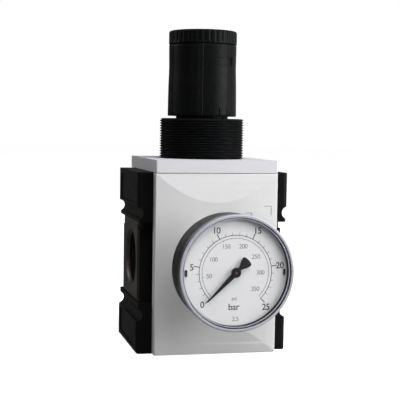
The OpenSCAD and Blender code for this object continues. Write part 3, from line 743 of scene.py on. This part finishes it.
def make_dial():
    low, high = DIAL_FACE - 0.5, DIAL_FACE
    outline = [(1.2, low), (DIAL_R, low), (DIAL_R, high), (DIAL_R - 0.6, high), (1.8, high), (1.2, high)]
    profile = rounded(outline, [0, 0.1, 0.15, 0, 0, 0.1], steps=3)
    return lathe("dial_plate", profile, around_gauge, segments=180)


shell = smooth(make_case(), 35)
dress(shell, "housing", MATERIALS["case_black"], ["gauge_case"])
crystal = smooth(make_window(), 50)
dress(crystal, "housing", None, ["gauge_window"])
crystal.visible_shadow = False  # clear all through, so it leaves no shadow on the dial
dial = smooth(make_dial(), 35)
dress(dial, "housing", MATERIALS["dial_white"], ["gauge_dial"])
dress(make_bar_scale(), "housing", INK_DARK)
dress(make_psi_scale(), "housing", INK_BROWN)


# ---------------------------------------------------------------- pointer

def make_pointer():
    """Flat tapered pointer, its hub and its flared tail, aimed at zero."""
    arm = [(0, 1.5), (2.6, 1.35), (21.4, 0.3), (21.8, 0), (21.4, -0.3), (2.6, -1.35), (0, -1.5), (-3.4, -1.0),
           (-6.4, -2.7), (-8.5, -3.1), (-9.2, -2.3), (-9.5, 0), (-9.2, 2.3), (-8.5, 3.1), (-6.4, 2.7), (-3.4, 1.0)]
    outline = rounded(arm, [0, 0.5, 0.1, 0.2, 0.1, 0.5, 0, 1.0, 1.2, 0.9, 0.6, 1.5, 0.6, 0.9, 1.2, 1.0], steps=4)
    a = math.radians(ZERO)
    turned = [(p[0] * math.cos(a) - p[1] * math.sin(a), p[0] * math.sin(a) + p[1] * math.cos(a)) for p in outline]
    low, high = DIAL_FACE + 1.0, DIAL_FACE + 1.45
    blade = loft_solid("blade", turned, lambda p: (p[0], -low, GAUGE_Z + p[1]),
                       lambda p: (p[0], -high, GAUGE_Z + p[1]))
    bevel = blade.modifiers.new("bevel", "BEVEL")
    bevel.width = 0.12 * MM
    bevel.segments = 2
    bevel.limit_method = "ANGLE"
    bevel.angle_limit = math.radians(50)
    baked(blade)
    hub_profile = rounded([(0.62, low - 0.1), (2.65, low - 0.1), (2.65, high + 0.45), (1.6, high + 0.55),
                           (1.25, high + 0.2), (0.62, high + 0.2)], [0, 0.1, 0.35, 0.15, 0.1, 0.05], steps=4)
    hub = lathe("hub", hub_profile, around_gauge, segments=72)
    return joined("pointer_hand", [blade, hub])


hand = smooth(make_pointer(), 35)
dress(hand, "pointer", MATERIALS["pointer_black"], ["pointer"])


# ---------------------------------------------------------------- port inserts with G1 threads, 11 to the inch

G1_PITCH = 25.4 / 11
G1_CREST = 15.15
G1_ROOT = 16.62
PORT_Z = 51.5
BARREL_R = 18.95
CHAMFER = 1.9
PLATE_BACK = 39.05
LEDGE_Z = 69.0
LEDGE_D = 5.5


def port_mesh(name, node, side):
    """One insert, turned about its port's axis: threaded bore, chamfered mouth, face plate and barrel."""
    low, high = span(node)
    face, end = max(abs(low[0]), abs(high[0])), min(abs(low[0]), abs(high[0]))
    sides = (high[1], high[2] - PORT_Z, low[1], low[2] - PORT_Z)
    corners = [math.atan2(z, y) for y in (sides[0], sides[2]) for z in (sides[1], sides[3])]

    def place(radius, height, angle):
        return (side * height, radius * math.cos(angle), PORT_Z + radius * math.sin(angle))

    def shape(r, height, angle):
        across, up = math.cos(angle), math.sin(angle)
        if r > 100:
            reach_y = (sides[0] if across > 0 else -sides[2]) / max(1e-6, abs(across))
            reach_z = (sides[1] if up > 0 else -sides[3]) / max(1e-6, abs(up))
            return min(reach_y, reach_z) - (r - 1000)
        if r < G1_CREST + 0.01:
            fade = min(1.0, (height - end) / 1.0, max(0.0, face - CHAMFER - height) / 0.8)
            return G1_ROOT - (G1_ROOT - G1_CREST) * (1 - fade * (1 - thread_share(height, angle, G1_PITCH)))
        return r

    bore = [(G1_CREST, h) for h in np.arange(end + 0.02, face - CHAMFER, 0.17)]
    mouth = [(G1_CREST + 0.02, face - CHAMFER), (G1_CREST + 1.95, face - 0.05), (G1_CREST + 2.1, face)]
    plate = [(1000.15, face), (1000, face - 0.15), (1000, PLATE_BACK)]
    barrel = [(BARREL_R, PLATE_BACK), (BARREL_R, end + 0.4), (BARREL_R - 0.4, end)]
    return lathe(name, bore + mouth + plate + barrel, place, segments=240, shape=shape, extra_angles=corners)


def make_insert(name, node, side):
    low, high = span(node)
    face = max(abs(low[0]), abs(high[0]))
    xs = sorted((side * (face - 0.5), side * (face + 1)))
    ledge = new_piece("ledge", *box_mesh(xs, (high[1] - LEDGE_D, high[1] + 1), (LEDGE_Z, high[2] + 1)))
    piece = smooth(cut(port_mesh(name, node, side), [ledge]), 35)
    return dress(piece, "housing", MATERIALS["port_metal"], [node])


make_insert("inlet_port", "inlet_insert", -1)
make_insert("outlet_port", "outlet_insert", 1)


# ---------------------------------------------------------------- diaphragm, and springs given meshes of their own

# (radius, height) outlines: the clamped disc moves with the plates, the roll stays in the housing
DISC_OUTLINE = [(3.1, 96), (18, 96), (19.0, 96.3), (18.3, 97.95), (17.6, 97.5), (3.1, 97.5)]
ROLL_OUTLINE = [(19.05, 96.32), (20, 96.6), (21.4, 98.6), (22.6, 99.3), (23.9, 99.9), (24.6, 101), (29.9, 100.6),
                (29.9, 102.9), (24, 102.9), (22.6, 101.2), (20.6, 100.4), (19, 98.4), (18.35, 98.0)]
diaphragm_disc = lathe("diaphragm_disc", DISC_OUTLINE, around_spindle)
diaphragm_roll = lathe("diaphragm_roll", ROLL_OUTLINE, around_spindle)
dress(smooth(diaphragm_disc, 50), "diaphragm_plates", MATERIALS["rubber"])
dress(smooth(diaphragm_roll, 50), "housing", MATERIALS["rubber"], ["diaphragm"])

SPRINGS = (("main_spring", "spring_plate_travel", 7.5), ("valve_spring", "valve_travel", 2.0))
for node, joint, travel in SPRINGS:
    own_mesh(frame["nodes"][node])


# ---------------------------------------------------------------- corner marks on the front cover

CROWN = -cap_low[1]
CROWN_RISE = -cover_low[1] - CROWN
CROWN_R = (cover_high[0] ** 2 + CROWN_RISE ** 2) / (2 * CROWN_RISE)
CORNERS = [(31.7, 84.7, 4.4, 5.4), (20.0, 80.9, 4.3, 2.4)]


def crown_y(x):
    """Front surface of the cover's crowned face."""
    return -(CROWN + CROWN_RISE - CROWN_R + math.sqrt(CROWN_R ** 2 - x * x))


def mark_strip(x0, x1, z0, z1, lift):
    """A thin raised strip that follows the crown."""
    xs = np.linspace(x0, x1, 5)
    verts = [(x, crown_y(x) - y, z) for x in xs for y in (-0.05, lift) for z in (z0, z1)]
    faces = [(0, 1, 3, 2), (16, 18, 19, 17)]
    for k in range(0, 16, 4):
        faces += [(k, k + 4, k + 5, k + 1), (k + 2, k + 3, k + 7, k + 6), (k, k + 2, k + 6, k + 4),
                  (k + 1, k + 5, k + 7, k + 3)]
    return new_piece("strip", verts, faces)


def make_marks():
    strips = []
    for x, z, across, down in CORNERS:
        strips.append(mark_strip(x - across, x, z - 0.35, z, 0.03))
        strips.append(mark_strip(x - 0.45, x, z - down, z - 0.35, 0.05))
    return joined("cover_marks", strips)


dress(make_marks(), "housing", MARK_GREY)


# ---------------------------------------------------------------- camera, light, floor

def make_camera():
    """Stands at the photograph's viewing angle, a little above the object and to its left."""
    yaw, pitch, roll = 0.230434, 0.069325, 0.015175
    forward = Vector((math.sin(yaw) * math.cos(pitch), math.cos(yaw) * math.cos(pitch), -math.sin(pitch)))
    level = Vector((math.cos(yaw), -math.sin(yaw), 0))
    upright = level.cross(forward)
    right = math.cos(roll) * level + math.sin(roll) * upright
    up = -math.sin(roll) * level + math.cos(roll) * upright
    data = bpy.data.cameras.new("camera")
    data.lens = 95.5
    data.sensor_width = 36
    data.clip_start = 0.01
    data.clip_end = 20
    camera = bpy.data.objects.new("camera", data)
    bpy.context.scene.collection.objects.link(camera)
    camera.matrix_world = Matrix((
        (right.x, up.x, -forward.x, -145.5 * MM),
        (right.y, up.y, -forward.y, -618.8 * MM),
        (right.z, up.z, -forward.z, 129.2 * MM),
        (0, 0, 0, 1)))
    bpy.context.scene.camera = camera


def area_light(name, place, aim, size, power):
    data = bpy.data.lights.new(name, "AREA")
    data.shape = "RECTANGLE"
    data.size, data.size_y = size
    data.energy = power
    light = bpy.data.objects.new(name, data)
    bpy.context.scene.collection.objects.link(light)
    light.location = place
    light.rotation_euler = (Vector(aim) - Vector(place)).to_track_quat("-Z", "Y").to_euler()


def make_floor():
    """A wide pale floor that doesn't light the object from below, so that black surfaces stay black."""
    size = 6.0
    floor = new_piece("floor", *box_mesh((-size / MM, size / MM), (-size / MM, size / MM), (-20.0, 0.0)))
    n = Nodes("floor")
    n.link(n.ramp(n.noise(6, 3), 0.84, 0.86), n.shader.inputs["Base Color"])
    n.shader.inputs["Roughness"].default_value = 0.9
    n.shader.inputs["Specular IOR Level"].default_value = 0.1
    n.shader.inputs["Emission Color"].default_value = (1, 1, 1, 1)
    n.shader.inputs["Emission Strength"].default_value = FLOOR_GLOW
    floor.data.materials.append(n.material)
    floor.visible_glossy = False
    floor.visible_diffuse = False


def make_world():
    """White to the eye; as a light, a white screen behind the object and a dim room elsewhere."""
    world = bpy.data.worlds.new("studio")
    bpy.context.scene.world = world
    world.use_nodes = True
    tree = world.node_tree
    background = tree.nodes["Background"]
    place = tree.nodes.new("ShaderNodeTexCoord")
    toward = tree.nodes.new("ShaderNodeVectorMath")
    toward.operation = "DOT_PRODUCT"
    turn = math.radians(SCREEN_TURN)
    toward.inputs[1].default_value = (math.sin(turn), -math.cos(turn), 0)
    tree.links.new(place.outputs["Generated"], toward.inputs[0])
    level = tree.nodes.new("ShaderNodeMapRange")
    level.interpolation_type = "SMOOTHSTEP"
    for name, value in {"From Min": 0.62, "From Max": 0.88, "To Min": ROOM_LEVEL, "To Max": SCREEN_LEVEL}.items():
        level.inputs[name].default_value = value
    tree.links.new(toward.outputs["Value"], level.inputs["Value"])
    path = tree.nodes.new("ShaderNodeLightPath")
    seen = tree.nodes.new("ShaderNodeMix")
    tree.links.new(path.outputs["Is Camera Ray"], seen.inputs["Factor"])
    tree.links.new(level.outputs["Result"], seen.inputs["A"])
    seen.inputs["B"].default_value = 1.0
    tree.links.new(seen.outputs["Result"], background.inputs["Strength"])
    background.inputs["Color"].default_value = (1, 1, 1, 1)


def softbox(name, turn, rise, distance, size, radiance):
    """A softbox aimed at the object from an angle about it; angle 0 faces the gauge side and grows towards +X."""
    a, e = math.radians(turn), math.radians(rise)
    aim = np.array([0, 0, 0.1])
    place = aim + distance * np.array([math.sin(a) * math.cos(e), -math.cos(a) * math.cos(e), math.sin(e)])
    area_light(name, place, aim, size, radiance * math.pi * size[0] * size[1])


FLOOR_GLOW = 0.85
ROOM_LEVEL = 0.12
SCREEN_LEVEL = 0.6
SCREEN_TURN = 122

make_camera()
make_floor()
make_world()
softbox("key", 62, 15, 1.1, (0.7, 0.7), 9.6)
softbox("top", 10, 62, 1.1, (0.6, 0.6), 8.0)
softbox("fill", -24, 6, 1.1, (0.22, 0.22), 5.5)
softbox("side", -118, 20, 1.1, (0.4, 0.4), 4.5)

scene = bpy.context.scene
scene.view_settings.view_transform = "Standard"
scene.view_settings.look = "None"
